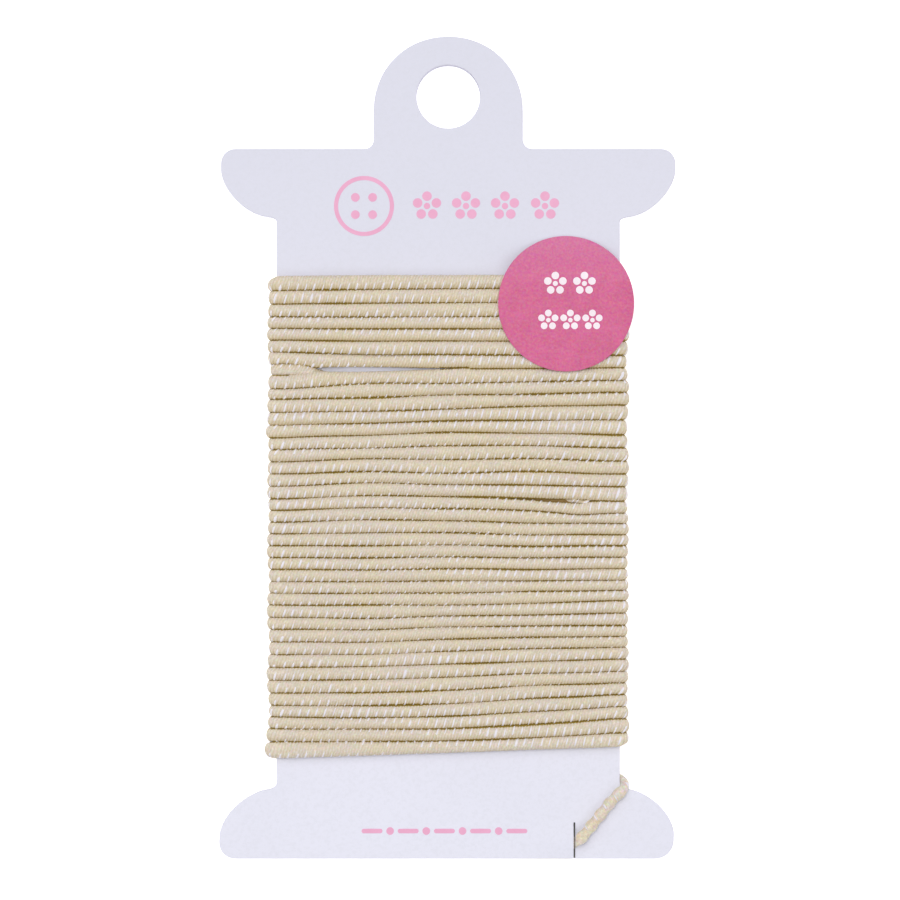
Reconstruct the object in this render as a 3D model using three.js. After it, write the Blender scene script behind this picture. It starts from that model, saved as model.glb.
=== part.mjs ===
// A card of elastic yarn: elastic cord wound round the waist of a die-cut card with a hang hole, a
// round paper sticker over the first turns, and the cord's loose end drawn into a slit in the foot.
// Millimetres. The card lies on its back, face up: +X is its right, +Y its top and +Z out of its
// face. X = 0 is its middle line, Y = 0 is half its height, and Z = 0 is the surface it lies on.

import * as THREE from "three";

// Between neighbouring pieces
const GAP = 0.3;

// The layers, from the surface up: back runs of the cord, the board, front runs of the cord
const CORD_DIAMETER = 1.4;
const BOARD_THICKNESS = 0.8;
const BOARD_BACK = CORD_DIAMETER + GAP;
const BOARD_FACE = BOARD_BACK + BOARD_THICKNESS;
const BOARD_MIDDLE = (BOARD_BACK + BOARD_FACE) / 2;
const WOUND_HEIGHT = BOARD_FACE + GAP + CORD_DIAMETER;

// The card's outline, which is the same on both sides of its middle line
const CARD = {
  top: 45.15,
  bottom: -45.15,
  wingHalf: 25,
  waistHalf: 18.87,
  tabHalf: 8.2,
  shoulderY: 32.8,
  shoulderHollow: 1,
  wingCorner: 1.25,
  footCorner: 1.7,
  hollowWidth: 0.73,
};
const WING = { waistY: 24.3, wideY: 30.7 };
const FOOT = { waistY: -36.85, wideY: -43.35 };
const HANG_HOLE = { y: 38.56, radius: 3.5, sides: 32 };
const SLIT = { x: 13.88, width: 0.6, length: 3.86 };

// The winding: half its width, the rounding at the card's edges, and how deep the cord's turns part
const WOUND_HALF = 19.85;
const END_RADIUS = WOUND_HEIGHT / 2;
const STRAIGHT_HALF = WOUND_HALF - END_RADIUS;
const TURNS = 38;
const STEPS = { front: 6, end: 6, back: 3 };

// The surface of one turn across its height: its share of the turn, and how far it lies in
const RIDGE = [
  { share: 0, front: 0.38, back: 0.38 },
  { share: 0.2, front: 0.12, back: 0 },
  { share: 0.5, front: 0, back: 0 },
  { share: 0.8, front: 0.12, back: 0 },
];

// Where the turns lie: the height of the lower edge of some of them at three places on the front
const TURN_EDGES = [
  { turn: 0, left: 18.9, middle: 18.9, right: 18.8 },
  { turn: 4, left: 13.1, middle: 13.05, right: 13.3 },
  { turn: 7, left: 9.15, middle: 8.7, right: 8.75 },
  { turn: 8, left: 6.5, middle: 7.05, right: 7.4 },
  { turn: 12, left: 1.05, middle: 1.65, right: 1.4 },
  { turn: 16, left: -4.25, middle: -4.1, right: -4.35 },
  { turn: 20, left: -9.45, middle: -9.35, right: -9.55 },
  { turn: 25, left: -16, middle: -15.95, right: -15.7 },
  { turn: 30, left: -22.75, middle: -22.4, right: -21.95 },
  { turn: 34, left: -28.35, middle: -28.1, right: -27.2 },
  { turn: 38, left: -34.1, middle: -33.8, right: -33.2 },
];

// The narrow open wedge that the photograph shows under one turn
const WEDGE = { turn: 7, fromX: -15, toX: -2, depth: 1.1 };

// The sticker: it lies flat on the winding and bends down to the card's face above it
const STICKER = { x: 12.93, y: 15.74, radius: 7.46, thickness: 0.25, sides: 48, rings: 5 };
const STICKER_BEND = { fromY: 18.5, toY: 23.2 };

// The loose end: from the lowest turn across the back, round the waist, and through the slit
const LOOSE_RADIUS = 0.62;
const LOOSE_SIDES = 8;
const LOOSE_STEPS = 80;
const LOOSE_BACK_Z = 0.76;
const LOOSE_FRONT_Z = BOARD_FACE + GAP + LOOSE_RADIUS;
const LOOSE_ROUTE = [
  [-17, -35.05, LOOSE_BACK_Z],
  [-12, -35.2, LOOSE_BACK_Z],
  [-6, -35.4, LOOSE_BACK_Z],
  [0, -35.65, LOOSE_BACK_Z],
  [6, -35.95, LOOSE_BACK_Z],
  [12, -36.25, LOOSE_BACK_Z],
  [16.5, -36.42, LOOSE_BACK_Z],
  [18.5, -36.48, LOOSE_BACK_Z],
  [19.3, -36.5, 0.92],
  [19.66, -36.53, 1.4],
  [19.77, -36.58, 2.1],
  [19.64, -36.68, 2.85],
  [19.25, -36.92, 3.33],
  [18.6, -37.62, LOOSE_FRONT_Z],
  [17.85, -38.7, LOOSE_FRONT_Z],
  [16.9, -40, LOOSE_FRONT_Z],
  [15.75, -41.4, LOOSE_FRONT_Z],
  [14.75, -42.45, 3.3],
  [14.15, -43.05, 2.8],
  [13.88, -43.45, 2.1],
  [13.62, -43.85, 1.35],
  [13.1, -44.2, 0.9],
  [12.2, -44.4, LOOSE_BACK_Z],
  [10.9, -44.4, LOOSE_BACK_Z],
  [9.8, -44.3, LOOSE_BACK_Z],
];

// Within this height of the board's middle, the loose end is squeezed by the slit to this share
const SQUEEZE = { fullHeight: 1, freeHeight: 1.3, share: 0.2 };

const cardboard = new THREE.MeshStandardMaterial({ color: 0xe4e4ef, roughness: 0.85 });
const elasticCord = new THREE.MeshStandardMaterial({ color: 0xd8caae, roughness: 0.9 });
const stickerPaper = new THREE.MeshStandardMaterial({ color: 0xd86f9b, roughness: 0.6 });

function named(name, geometry, material) {
  const mesh = new THREE.Mesh(geometry, material);
  mesh.name = name;
  return mesh;
}

function arcPoints(x, y, radius, fromDegrees, toDegrees, steps) {
  const from = THREE.MathUtils.degToRad(fromDegrees);
  const to = THREE.MathUtils.degToRad(toDegrees);
  return new THREE.EllipseCurve(x, y, radius, radius, from, to, to < from).getPoints(steps);
}

// The curved flank of a wing or foot: a small hollow at the waist, then a brow to its widest point
function flankPoints({ waistY, wideY }) {
  const rise = wideY - waistY;
  const flank = new THREE.Path();
  flank.moveTo(CARD.waistHalf, waistY);
  flank.quadraticCurveTo(
    CARD.waistHalf,
    waistY + 0.09 * rise,
    CARD.waistHalf + CARD.hollowWidth,
    waistY + 0.12 * rise,
  );
  flank.bezierCurveTo(
    CARD.waistHalf + 0.55 * (CARD.wingHalf - CARD.waistHalf),
    waistY + 0.245 * rise,
    CARD.wingHalf,
    waistY + 0.557 * rise,
    CARD.wingHalf,
    wideY,
  );
  return flank.getPoints(9);
}

function card() {
  const { top, bottom, wingHalf, tabHalf, shoulderY, shoulderHollow } = CARD;
  const { wingCorner, footCorner } = CARD;
  const hollowX = tabHalf + shoulderHollow;
  const hollowY = shoulderY + shoulderHollow;
  const rightEdge = [
    ...arcPoints(wingHalf - footCorner, bottom + footCorner, footCorner, -90, 0, 6),
    ...flankPoints(FOOT).reverse(),
    ...flankPoints(WING),
    ...arcPoints(wingHalf - wingCorner, shoulderY - wingCorner, wingCorner, 0, 90, 5),
    ...arcPoints(hollowX, hollowY, shoulderHollow, 270, 180, 4),
    ...arcPoints(0, top - tabHalf, tabHalf, 0, 90, 14),
  ];
  const leftEdge = rightEdge
    .slice(0, -1)
    .map((point) => new THREE.Vector2(-point.x, point.y))
    .reverse();
  const slitSides = [-1, 1].map((side) => SLIT.x + (side * SLIT.width) / 2);
  const slitEdge = [
    new THREE.Vector2(slitSides[0], bottom),
    new THREE.Vector2(slitSides[0], bottom + SLIT.length),
    new THREE.Vector2(slitSides[1], bottom + SLIT.length),
    new THREE.Vector2(slitSides[1], bottom),
  ];
  const outline = new THREE.Shape([...slitEdge, ...rightEdge, ...leftEdge]);
  const hole = arcPoints(0, HANG_HOLE.y, HANG_HOLE.radius, 360, 0, HANG_HOLE.sides);
  outline.holes.push(new THREE.Path(hole.slice(0, -1)));
  const board = new THREE.ExtrudeGeometry(outline, {
    depth: BOARD_THICKNESS,
    bevelEnabled: false,
  });
  return named("card", board.translate(0, 0, BOARD_BACK), cardboard);
}

// The height of a turn's upper edge, where turn may be a fraction, at a place on the front or back
function turnY(turn, x, onBack) {
  const next = Math.max(1, TURN_EDGES.findIndex((row) => row.turn >= turn));
  const above = TURN_EDGES[next - 1];
  const below = TURN_EDGES[next];
  const share = (turn - above.turn) / (below.turn - above.turn);
  const edge = (side) => THREE.MathUtils.lerp(above[side], below[side], share);
  const across = THREE.MathUtils.clamp(x / STRAIGHT_HALF, -1, 1);
  if (onBack) return THREE.MathUtils.lerp(edge("left"), edge("right"), (across + 1) / 2);
  const side = across < 0 ? "left" : "right";
  return THREE.MathUtils.lerp(edge("middle"), edge(side), Math.abs(across));
}

// Once round the winding, clockwise from the front's left: a place on its outside, the way out
// there, and the place on its inside that lies behind it
function windingStations() {
  const innerHalf = CARD.waistHalf + GAP;
  const innerRise = BOARD_THICKNESS / 2 + GAP;
  const stations = [];
  const straight = (steps, facing) => {
    for (let i = 0; i <= steps; i += 1) {
      const across = facing * ((2 * i) / steps - 1);
      stations.push({
        x: across * STRAIGHT_HALF,
        z: BOARD_MIDDLE + (facing * WOUND_HEIGHT) / 2,
        out: [0, facing],
        inner: [across * innerHalf, BOARD_MIDDLE + facing * innerRise],
        onBack: facing < 0,
      });
    }
  };
  const end = (facing) => {
    for (let i = 1; i < STEPS.end; i += 1) {
      const angle = facing * (Math.PI / 2 - (i / STEPS.end) * Math.PI);
      const out = [facing * Math.cos(angle), Math.sin(angle)];
      stations.push({
        x: facing * STRAIGHT_HALF + END_RADIUS * out[0],
        z: BOARD_MIDDLE + END_RADIUS * out[1],
        out,
        inner: [facing * innerHalf, BOARD_MIDDLE + innerRise * out[1]],
        onBack: out[1] < 0,
      });
    }
  };
  straight(STEPS.front, 1);
  end(1);
  straight(STEPS.back, -1);
  end(-1);
  return stations;
}

// How far the surface lies in from the winding's outer size at one level of one turn
function ridgeDepth(turn, level, station) {
  const inWedge = turn === WEDGE.turn && level === RIDGE[0] && !station.onBack;
  if (inWedge && station.x > WEDGE.fromX && station.x < WEDGE.toX) return WEDGE.depth;
  return station.onBack ? level.back : level.front;
}

// One closed sleeve round the card's waist, with a ridge for each turn of the cord. Its rows of
// points run down the outside, then once across the lower and the upper rim of the inside.
function winding() {
  const stations = windingStations();
  const rows = [];
  for (let turn = 0; turn <= TURNS; turn += 1) {
    for (const level of turn < TURNS ? RIDGE : RIDGE.slice(0, 1)) {
      rows.push(
        stations.map((station) => {
          const depth = ridgeDepth(turn, level, station);
          const y = turnY(turn + level.share, station.x, station.onBack);
          return [station.x - depth * station.out[0], y, station.z - depth * station.out[1]];
        }),
      );
    }
  }
  for (const turn of [TURNS, 0]) {
    rows.push(
      stations.map(({ x, inner, onBack }) => [inner[0], turnY(turn, x, onBack), inner[1]]),
    );
  }
  const around = stations.length;
  const faces = [];
  rows.forEach((row, r) => {
    const below = (r + 1) % rows.length;
    row.forEach((point, c) => {
      const next = (c + 1) % around;
      const corners = [r * around + c, below * around + c, below * around + next, r * around + next];
      faces.push(corners[0], corners[1], corners[2], corners[0], corners[2], corners[3]);
    });
  });
  const sleeve = new THREE.BufferGeometry();
  sleeve.setAttribute("position", new THREE.Float32BufferAttribute(rows.flat(2), 3));
  sleeve.setIndex(faces);
  return named("winding", sleeve, elasticCord);
}

function sticker() {
  const { x, y, radius, thickness, sides, rings } = STICKER;
  const radii = Array.from({ length: rings }, (_, i) => (radius * (i + 1)) / rings);
  const profile = [
    new THREE.Vector2(0, 0),
    ...radii.map((r) => new THREE.Vector2(r, 0)),
    ...radii.reverse().map((r) => new THREE.Vector2(r, thickness)),
    new THREE.Vector2(0, thickness),
  ];
  const disc = new THREE.LatheGeometry(profile, sides);
  disc.rotateX(Math.PI / 2);
  disc.translate(x, y, WOUND_HEIGHT + GAP);
  const drop = WOUND_HEIGHT - BOARD_FACE;
  const points = disc.getAttribute("position");
  for (let i = 0; i < points.count; i += 1) {
    const bend = THREE.MathUtils.smoothstep(points.getY(i), STICKER_BEND.fromY, STICKER_BEND.toY);
    points.setZ(i, points.getZ(i) - drop * bend);
  }
  return named("sticker", disc, stickerPaper);
}

// The cord where it leaves the winding, narrowed sideways where the slit squeezes it
function looseEnd() {
  const route = new THREE.CatmullRomCurve3(LOOSE_ROUTE.map((point) => new THREE.Vector3(...point)));
  const section = new THREE.Shape(arcPoints(0, 0, LOOSE_RADIUS, 0, 360, LOOSE_SIDES).slice(0, -1));
  const cord = new THREE.ExtrudeGeometry(section, {
    steps: LOOSE_STEPS,
    extrudePath: route,
    bevelEnabled: false,
  });
  const centres = route
    .getSpacedPoints(LOOSE_STEPS)
    .filter((centre) => Math.abs(centre.x - SLIT.x) < 1 && centre.y < FOOT.wideY + 1.5);
  const points = cord.getAttribute("position");
  const point = new THREE.Vector3();
  for (let i = 0; i < points.count; i += 1) {
    point.fromBufferAttribute(points, i);
    const centre = centres.find((c) => Math.abs(c.distanceTo(point) - LOOSE_RADIUS) < 1e-4);
    if (!centre) continue;
    const height = Math.abs(centre.z - BOARD_MIDDLE);
    const free = THREE.MathUtils.smoothstep(height, SQUEEZE.fullHeight, SQUEEZE.freeHeight);
    const share = THREE.MathUtils.lerp(SQUEEZE.share, 1, free);
    points.setX(i, SLIT.x + (point.x - SLIT.x) * share);
  }
  return named("loose_end", cord, elasticCord);
}

const elasticYarnCard = new THREE.Group();
elasticYarnCard.add(card(), winding(), sticker(), looseEnd());

export default elasticYarnCard;
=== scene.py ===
"""A card of elastic yarn: cream elastic cord wound round the waist of a white die-cut card, with a
round pink sticker and the loose end held in a slit. Shapes are worked out in millimetres, in the
CAD frame: +X is the card's right, +Y its top, and +Z comes out of its face.
"""

import math

import bpy
import numpy as np
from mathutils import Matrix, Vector, noise


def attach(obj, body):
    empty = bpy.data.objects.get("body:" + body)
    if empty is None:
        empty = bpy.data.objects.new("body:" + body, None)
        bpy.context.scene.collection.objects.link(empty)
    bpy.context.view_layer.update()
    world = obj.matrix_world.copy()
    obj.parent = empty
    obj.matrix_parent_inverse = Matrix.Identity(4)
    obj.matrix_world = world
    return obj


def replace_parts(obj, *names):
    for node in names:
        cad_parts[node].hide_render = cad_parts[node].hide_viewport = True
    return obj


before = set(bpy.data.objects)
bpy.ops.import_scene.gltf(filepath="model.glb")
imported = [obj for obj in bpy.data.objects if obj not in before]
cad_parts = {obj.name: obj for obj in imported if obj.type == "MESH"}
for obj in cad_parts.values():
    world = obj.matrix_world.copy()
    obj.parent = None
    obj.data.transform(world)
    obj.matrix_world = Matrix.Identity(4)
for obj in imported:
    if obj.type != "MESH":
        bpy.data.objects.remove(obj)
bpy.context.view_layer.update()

MM = 0.001

# The photograph: how large a pixel is on the card, and the pixel that lies over the frame's origin
PIXEL = 0.11
PHOTO_PIXELS = 900
ORIGIN_PIXEL = (448.25, 447.0)

# The layers of the card, from the table up
BOARD_BACK = 1.7
BOARD_FACE = 2.5
BOARD_MIDDLE = (BOARD_BACK + BOARD_FACE) / 2


def at_pixel(pixel_x, pixel_y):
    """The place on the card, in millimetres, under a pixel of the photograph."""
    return (pixel_x - ORIGIN_PIXEL[0]) * PIXEL, (ORIGIN_PIXEL[1] - pixel_y) * PIXEL


# Camera

CAMERA = {"lens": 200.0, "sensor": 36.0}


def camera_over_the_card():
    """A long lens that looks straight down at the card's face, as in the photograph."""
    middle = PHOTO_PIXELS / 2
    x, y = at_pixel(middle, middle)
    distance = PHOTO_PIXELS * PIXEL * CAMERA["lens"] / CAMERA["sensor"]
    data = bpy.data.cameras.new("camera")
    data.lens = CAMERA["lens"]
    data.sensor_width = CAMERA["sensor"]
    camera = bpy.data.objects.new("camera", data)
    camera.location = (x * MM, y * MM, (BOARD_FACE + distance) * MM)
    bpy.context.collection.objects.link(camera)
    bpy.context.scene.camera = camera


camera_over_the_card()

# Finishes


def srgb(red, green, blue):
    """A colour given as 0 to 255 screen values, as the linear colour that a shader takes."""
    channels = []
    for value in (red, green, blue):
        share = value / 255
        channels.append(share / 12.92 if share <= 0.04045 else ((share + 0.055) / 1.055) ** 2.4)
    return (*channels, 1.0)


class Finish:
    """A material being put together from nodes."""

    def __init__(self, name, roughness, specular=0.3, sheen=0.0):
        self.material = bpy.data.materials.new(name)
        self.material.use_nodes = True
        self.nodes = self.material.node_tree.nodes
        self.links = self.material.node_tree.links
        self.shader = self.nodes["Principled BSDF"]
        self.shader.inputs["Roughness"].default_value = roughness
        self.shader.inputs["Specular IOR Level"].default_value = specular
        self.shader.inputs["Sheen Weight"].default_value = sheen
        self.shader.inputs["Sheen Roughness"].default_value = 0.4

    def put(self, socket, value):
        """Feeds a socket from another socket, or sets it."""
        if isinstance(value, bpy.types.NodeSocket):
            self.links.new(value, socket)
        elif value is not None:
            socket.default_value = value

    def place(self):
        return self.nodes.new("ShaderNodeTexCoord").outputs["Object"]

    def height_on_card(self):
        """How far up the card a place is, in metres."""
        node = self.nodes.new("ShaderNodeSeparateXYZ")
        self.put(node.inputs[0], self.place())
        return node.outputs[1]

    def sum(self, operation, first, second=None, third=None):
        node = self.nodes.new("ShaderNodeMath")
        node.operation = operation
        for socket, value in zip(node.inputs, (first, second, third)):
            self.put(socket, value)
        return node.outputs[0]

    def grain(self, per_mm, detail=2.0, rough=0.5, stretch=(1, 1, 1), coloured=False):
        """Soft noise of about per_mm bumps a millimetre, grey or in all colours."""
        mapping = self.nodes.new("ShaderNodeMapping")
        mapping.inputs["Scale"].default_value = stretch
        self.put(mapping.inputs["Vector"], self.place())
        node = self.nodes.new("ShaderNodeTexNoise")
        node.inputs["Scale"].default_value = per_mm / MM
        node.inputs["Detail"].default_value = detail
        node.inputs["Roughness"].default_value = rough
        self.put(node.inputs["Vector"], mapping.outputs[0])
        return node.outputs["Color" if coloured else "Fac"]

    def spread(self, value, low, high, to_low=0.0, to_high=1.0):
        """value from low..high, eased, onto to_low..to_high."""
        node = self.nodes.new("ShaderNodeMapRange")
        node.interpolation_type = "SMOOTHSTEP"
        self.put(node.inputs["Value"], value)
        for socket, number in zip(node.inputs[1:5], (low, high, to_low, to_high)):
            socket.default_value = number
        return node.outputs["Result"]

    def bump(self, height, deep, strength=1.0):
        """height, 0 to 1, stands for deep millimetres."""
        node = self.nodes.new("ShaderNodeBump")
        node.inputs["Distance"].default_value = deep * MM
        node.inputs["Strength"].default_value = strength
        self.put(node.inputs["Height"], height)
        self.put(self.shader.inputs["Normal"], node.outputs["Normal"])

    def colour(self, value):
        self.put(self.shader.inputs["Base Color"], value)
        return self.material


def colour_mix(finish, factor, first, second, blend="MIX"):
    """first turning into second as factor goes from 0 to 1."""
    node = finish.nodes.new("ShaderNodeMix")
    node.data_type = "RGBA"
    node.blend_type = blend
    # A Mix node has its colour sockets after those for numbers and vectors
    first_socket, second_socket, result = node.inputs[6], node.inputs[7], node.outputs[2]
    finish.put(node.inputs[0], factor)
    finish.put(first_socket, first)
    finish.put(second_socket, second)
    return result


def wrapped_thread(name, threads, thread_shade_and_relief=1.0, speckled=0.16, speckle_size=4.2, mottles=0.4,
                   sheen=0.1):
    """Cream thread wrapped slantwise round the elastic: each thread has its own tint. Painted shade
    darkens the wrap between its threads, browns a turn's lower side (more so higher up the card), and
    makes it olive down between two turns."""
    finish = Finish(name, roughness=0.9, specular=0.1, sheen=sheen)
    uv = finish.nodes.new("ShaderNodeUVMap")
    uv.uv_map = "wrap"
    split = finish.nodes.new("ShaderNodeSeparateXYZ")
    finish.put(split.inputs[0], uv.outputs[0])
    wander = finish.sum("MULTIPLY", finish.grain(1.4), 0.3)
    phase = finish.sum("ADD", finish.sum("SUBTRACT", split.outputs[0], split.outputs[1]), wander)
    wave = finish.sum("COSINE", finish.sum("MULTIPLY", phase, 2 * math.pi * threads))
    ridge = finish.sum("MULTIPLY_ADD", wave, 0.5, 0.5)
    strand = finish.nodes.new("ShaderNodeCombineXYZ")
    finish.put(strand.inputs[0], finish.sum("MULTIPLY", phase, threads))
    finish.put(strand.inputs[1], finish.sum("MULTIPLY", split.outputs[1], 9.0))
    tints = finish.nodes.new("ShaderNodeTexNoise")
    tints.inputs["Scale"].default_value = 1.1
    tints.inputs["Detail"].default_value = 1.0
    finish.put(tints.inputs["Vector"], strand.outputs[0])
    fibres = finish.grain(speckle_size + 0.6, detail=3.0, rough=0.65)
    patches = finish.grain(0.35, detail=2.0)
    cream = colour_mix(
        finish, finish.spread(patches, 0.35, 0.65), srgb(235, 224, 206), srgb(233, 223, 215)
    )
    grey_tints = colour_mix(finish, 0.45, tints.outputs["Fac"], tints.outputs["Color"])
    tinted = colour_mix(finish, 0.2, cream, grey_tints, "LINEAR_LIGHT")
    speckle = finish.grain(speckle_size, detail=2.0, rough=0.7, coloured=True)
    tinted = colour_mix(finish, speckled, tinted, speckle, "LINEAR_LIGHT")
    # The valley attribute says how much painted shade each side of the cord gets; its sign tells the
    # lower side from the upper
    valley_shade = finish.nodes.new("ShaderNodeAttribute")
    valley_shade.attribute_name = "valley_shade"
    signed = valley_shade.outputs["Fac"]
    # Painted shade: the wrap is coloured browner on a turn's lower side
    lower_side_shade = finish.spread(finish.sum("MULTIPLY_ADD", ridge, -0.2, signed), -0.35, 0.95)
    # Painted shade: the threads are coloured darker where they meet, more so on a turn's lower side
    between = finish.spread(ridge, 0.0, 0.8)
    share = finish.sum("MULTIPLY_ADD", lower_side_shade, 0.5 * thread_shade_and_relief, 0.3 * thread_shade_and_relief)
    shade_between_threads = finish.sum("MULTIPLY", finish.sum("SUBTRACT", 1.0, between), share)
    threads = colour_mix(finish, shade_between_threads, tinted, srgb(196, 176, 140))
    mottled = colour_mix(
        finish, finish.spread(fibres, 0.35, 0.7, mottles, 0.0), threads, srgb(204, 188, 152)
    )
    # The painted shade on the lower side is stronger higher up the card
    shade_higher_up = finish.spread(finish.height_on_card(), -0.008, 0.014, 0.42, 0.72)
    lower = colour_mix(finish, finish.sum("MULTIPLY", lower_side_shade, shade_higher_up), mottled, srgb(208, 188, 144))
    # Painted shade down between two turns: olive-brown where a neighbour lies against the cord, with a
    # ragged edge
    ragged = finish.sum("MULTIPLY_ADD", ridge, -0.07, finish.sum("ABSOLUTE", signed))
    ragged = finish.sum("MULTIPLY_ADD", finish.grain(2.2), 0.16, ragged)
    ragged = finish.sum("MULTIPLY_ADD", finish.grain(0.2, stretch=(0.6, 2.5, 1)), 0.4, ragged)
    deep = finish.spread(ragged, 1.03, 1.14)
    uneven = finish.sum("MULTIPLY_ADD", fibres, 0.6, ridge)
    finish.bump(uneven, deep=0.06, strength=0.4 + 0.5 * thread_shade_and_relief)
    return finish.colour(colour_mix(finish, deep, lower, srgb(162, 136, 54)))


def white_thread():
    """The white thread that comes to the surface once in each wrap."""
    finish = Finish("white thread", roughness=0.6, specular=0.3, sheen=0.2)
    strands = finish.grain(9.0, detail=2.0)
    finish.bump(strands, deep=0.012)
    return finish.colour(colour_mix(finish, strands, srgb(232, 227, 237), srgb(249, 246, 253)))


def shaded_thread():
    """Painted shade: the cord's wrap deep between two turns, coloured dark brown as it looks where
    little light falls.
    """
    finish = Finish("cord in painted shade between the turns", roughness=0.95, specular=0.05)
    strands = finish.grain(3.0, detail=2.0)
    finish.bump(strands, deep=0.04)
    return finish.colour(colour_mix(finish, strands, srgb(128, 102, 60), srgb(168, 140, 92)))


def white_board():
    """Coated white card: a cool tint, faint fibres and a trace of mottling, with painted light that
    makes it lighter toward the foot and darker toward the top.
    """
    finish = Finish("white card", roughness=0.7, specular=0.25)
    cloud = finish.grain(0.06, detail=3.0)
    fibre = finish.grain(2.6, detail=3.0, rough=0.6)
    # Painted light: the card is coloured lighter toward its foot and darker toward its top
    height = finish.spread(finish.height_on_card(), -0.05, 0.05)
    white = colour_mix(finish, height, srgb(233, 233, 246), srgb(222, 222, 235))
    tint = colour_mix(finish, finish.spread(cloud, 0.35, 0.65, 0.0, 0.12), white, srgb(216, 216, 228))
    specks = colour_mix(finish, finish.spread(fibre, 0.3, 0.6, 0.22, 0.0), tint, srgb(214, 214, 224))
    finish.bump(fibre, deep=0.012, strength=0.6)
    return finish.colour(specks)


def cut_board():
    """The card's die-cut edge: greyer, with the layers of the board."""
    finish = Finish("cut edge of the card", roughness=0.95, specular=0.1)
    layers = finish.grain(1.2, detail=3.0, stretch=(0.3, 0.3, 7))
    finish.bump(layers, deep=0.05)
    return finish.colour(colour_mix(finish, layers, srgb(196, 194, 210), srgb(224, 222, 234)))


def slit_board():
    """Painted shade inside the slit: its walls coloured dark grey."""
    finish = Finish("painted shade in the slit", roughness=1.0, specular=0.0)
    layers = finish.grain(1.2, detail=3.0, stretch=(0.3, 0.3, 7))
    return finish.colour(colour_mix(finish, layers, srgb(114, 114, 114), srgb(144, 144, 140)))


def uneven_ink(name, darker, colour):
    """A finish with the paper's grain in it, and the ink's colour, a little patchy."""
    finish = Finish(name, roughness=0.55, specular=0.3)
    patches = finish.spread(finish.grain(0.5, detail=4.0, rough=0.7), 0.3, 0.7)
    finish.bump(finish.grain(4.0, detail=3.0), deep=0.008, strength=0.5)
    return finish, colour_mix(finish, patches, darker, colour)


def printed(name, colour, darker):
    """Ink on card or on the sticker."""
    finish, ink = uneven_ink(name, darker, colour)
    return finish.colour(ink)


def sticker_print():
    """Pink ink with a fine speckle of paper; painted light makes it paler toward the sticker's top,
    where it bends down to the card.
    """
    finish, pink = uneven_ink("pink sticker print", srgb(206, 98, 140), srgb(214, 104, 149))
    # Painted light: the print is paler on the sticker's top, where it bends down toward the card
    upper = finish.spread(finish.height_on_card(), 0.0165, 0.0225)
    pink = colour_mix(finish, upper, pink, srgb(215, 118, 160))
    speckle = finish.grain(3.6, detail=2.0, rough=0.7, coloured=True)
    return finish.colour(colour_mix(finish, 0.12, pink, speckle, "LINEAR_LIGHT"))


# The cord

# The cord's wrap: how far it climbs in one round, how far apart the white flecks are that show in
# it, and how many cream threads lie side by side in one round. Two white threads run in the wrap,
# and come to the surface on opposite sides of the cord. A fleck covers "reach" degrees of the
# girth on each side of its middle.
FLECK_STATIONS = 6
WRAP = {"climb": 1.3, "fleck_gap": 0.94, "threads": 4, "start": 0.0}
FLECK = {"reach": 50.0, "half_width": 0.12, "stands": 0.045, "sinks": 0.02}
CORD_SIDES = 14
FRONT_STEP = 0.235
BACK_STEP = 0.47

# Where the turns lie on the front: the lower edge of a turn, as the photograph's pixel row at
# three pixel columns. Turn 0 stands for the upper edge of the first turn.
EDGE_COLUMNS = (288, 450, 606)
TURN_EDGES = (
    # turn, left, middle, right
    (0, 275.6, 274.6, 275.1),
    (1, 289.8, 288, 288.5),
    (2, 303.7, 302.1, 302),
    (3, 316.1, 316.1, 315),
    (5, 339.6, 340.5, 340),
    (6, 351.5, 354, 354.7),
    (7, 364.1, 367.9, 367.4),
    (8, 388.1, 382.7, 379.8),
    (9, 398.4, 394.1, 391.8),
    (10, 411.8, 408.6, 404.5),
    (12, 437.2, 431.8, 434.1),
    (13, 448.9, 445.1, 447),
    (15, 473.1, 472.6, 473.5),
    (16, 485.4, 484.1, 486),
    (17, 498.1, 496.1, 500.6),
    (19, 521.4, 520, 522.8),
    (21, 545, 544.2, 545.2),
    (24, 580.9, 580.3, 579.7),
    (26, 604.5, 604.5, 600.4),
    (28, 628.7, 626.4, 625),
    (30, 654, 650.5, 646.7),
    (32, 679.7, 676.3, 670.9),
    (34, 704.7, 702.8, 694.4),
    (36, 728.3, 728, 718.8),
    (37, 740.9, 740, 732.6),
    (38, 757.2, 752, 746.4),
)
TURNS = 38
# How far a turn's lower edge sags, in pixels, halfway to the left and halfway to the right
TURN_SAGS = (
    # turn, left, right
    (0, 0, 0),
    (5, 0.3, 0),
    (6, 0.8, 0),
    (7, 0, 0),
    (8, -2.2, 0.5),
    (9, 0.9, 0.8),
    (10, 0.5, -0.9),
    (11, 0.8, 0.6),
    (12, 1.2, 1),
    (13, 1.3, -0.6),
    (14, -1.3, -1.3),
    (15, -1.7, -2),
    (16, -2.2, -0.3),
    (17, -1.1, 0.3),
    (18, -0.9, 0.2),
    (19, -1.2, 1.7),
    (20, 0, 1.7),
    (21, 0.7, 1.2),
    (23, 0.9, 0.8),
    (24, 0.2, 0.4),
    (25, -0.2, -0.7),
    (26, -0.8, 0),
    (27, 1.4, 0.1),
    (28, 1.6, -0.2),
    (30, 1.4, -0.8),
    (31, 0.7, -0.1),
    (32, 0.3, -1),
    (33, 0.3, -1.8),
    (35, 0.2, -0.8),
    (36, -1, -0.4),
    (37, -0.4, 0.3),
    (38, 0, 0),
)
# The tops of the turns are nearer to the lens than the valleys between them, so a valley that is
# traced from the photograph lies a little lower on the page, and a little nearer the middle
VALLEY_SHIFT = {"down": 0.6, "inward": 0.0018}

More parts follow.
